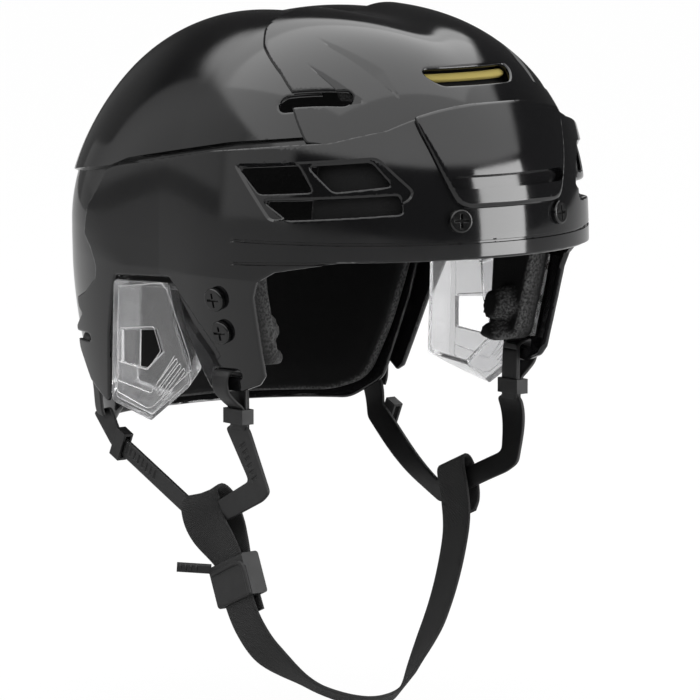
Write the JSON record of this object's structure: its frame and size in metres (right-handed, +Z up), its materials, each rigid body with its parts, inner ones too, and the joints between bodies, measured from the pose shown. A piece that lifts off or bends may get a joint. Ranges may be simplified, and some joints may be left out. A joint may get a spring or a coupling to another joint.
{
  "type": "ice hockey helmet",
  "caption": "Hockey helmet in two sliding vented shells over foam liners, with clear ear guards and a webbing chin strap on moulded slings.",
  "frame": {"origin": "middle of the head cavity, level with the bottom of the brim", "axes": "+Z up, -Y the way the face looks, -X the wearer's right"},
  "size_m": [0.206, 0.2743, 0.331],
  "materials": {
    "shell": "gloss",
    "rear_shell": "gloss",
    "clear_guard": "clear moulded",
    "sling": "satin",
    "keeper": "satin",
    "screw": "black satin",
    "nut": "plain",
    "stud": "plain",
    "foam": "matte foam",
    "comfort": "matte foam",
    "webbing": "woven",
    "buckle": "satin"
  },
  "bodies": {
    "front": {"front_shell": "shell", "ear_guard_right": "clear_guard", "ear_guard_left": "clear_guard", "sling_right": "sling", "sling_left": "sling", "front_keeper_right": "keeper", "front_keeper_left": "keeper", "side_screws": "screw", "side_nuts": "nut", "visor_screws": "screw", "visor_nuts": "nut", "guide_studs": "stud", "brow_foam": "foam", "crown_front_foam": "foam", "temple_foam_right": "foam", "temple_foam_left": "foam", "comfort_strip": "comfort"},
    "rear": {"rear_shell": "rear_shell", "crown_rear_foam": "foam", "side_foam_right": "foam", "side_foam_left": "foam", "rear_foam": "foam", "nape_foam": "foam"},
    "chin": {"chin_webbing": "webbing"},
    "buckle": {"ladder_lock": "buckle"},
    "keeper_right": {"rear_keeper_right": "keeper"},
    "keeper_left": {"rear_keeper_left": "keeper"}
  },
  "joints": [
    {"name": "size_slide", "type": "slide", "parent": "front", "child": "rear", "axis": [0, 1, 0], "range_m": [0, 0.008]},
    {"name": "chin_swing", "type": "hinge", "parent": "front", "child": "chin", "pos_m": [0, -0.02045, -0.12299], "axis": [1, 0, 0], "range_deg": [-20, 20]},
    {"name": "buckle_slide", "type": "slide", "parent": "chin", "child": "buckle", "axis": [0, 0.3907, 0.9205], "range_m": [-0.004, 0.008]},
    {"name": "keeper_slide_right", "type": "slide", "parent": "front", "child": "keeper_right", "axis": [0, -0.908, -0.419], "range_m": [0, 0.008]},
    {"name": "keeper_slide_left", "type": "slide", "parent": "front", "child": "keeper_left", "axis": [0, -0.908, -0.419], "range_m": [0, 0.008]}
  ]
}
